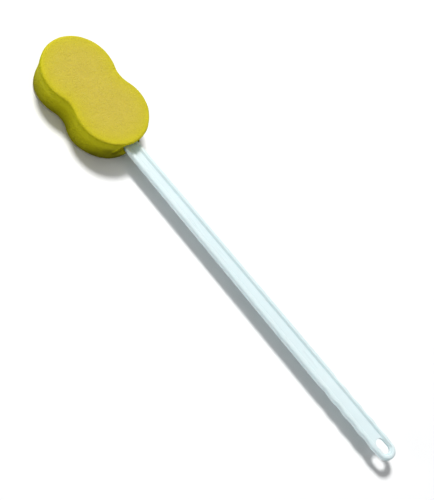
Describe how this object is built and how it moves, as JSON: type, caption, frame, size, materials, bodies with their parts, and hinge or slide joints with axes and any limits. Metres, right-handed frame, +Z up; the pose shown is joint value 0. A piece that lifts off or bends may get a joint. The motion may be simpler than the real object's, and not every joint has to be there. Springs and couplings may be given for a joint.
{
  "type": "long-handled bath sponge",
  "caption": "Peanut-shaped foam washing sponge glued on a long slim plastic handle with finger scallops and a hanging slot.",
  "frame": {"origin": "centre of the foam block's flat lower face", "axes": "+X along the handle from the foam block to the handle's tip, +Z up through the foam block's thickness to its upper face, +Y across the foam block"},
  "size_m": [0.559, 0.0856, 0.0365],
  "materials": {
    "handle_plastic": "gloss",
    "adhesive": "satin",
    "foam": "matte"
  },
  "bodies": {
    "root": {"handle": "handle_plastic", "adhesive": "adhesive", "sponge": "foam"}
  },
  "joints": []
}
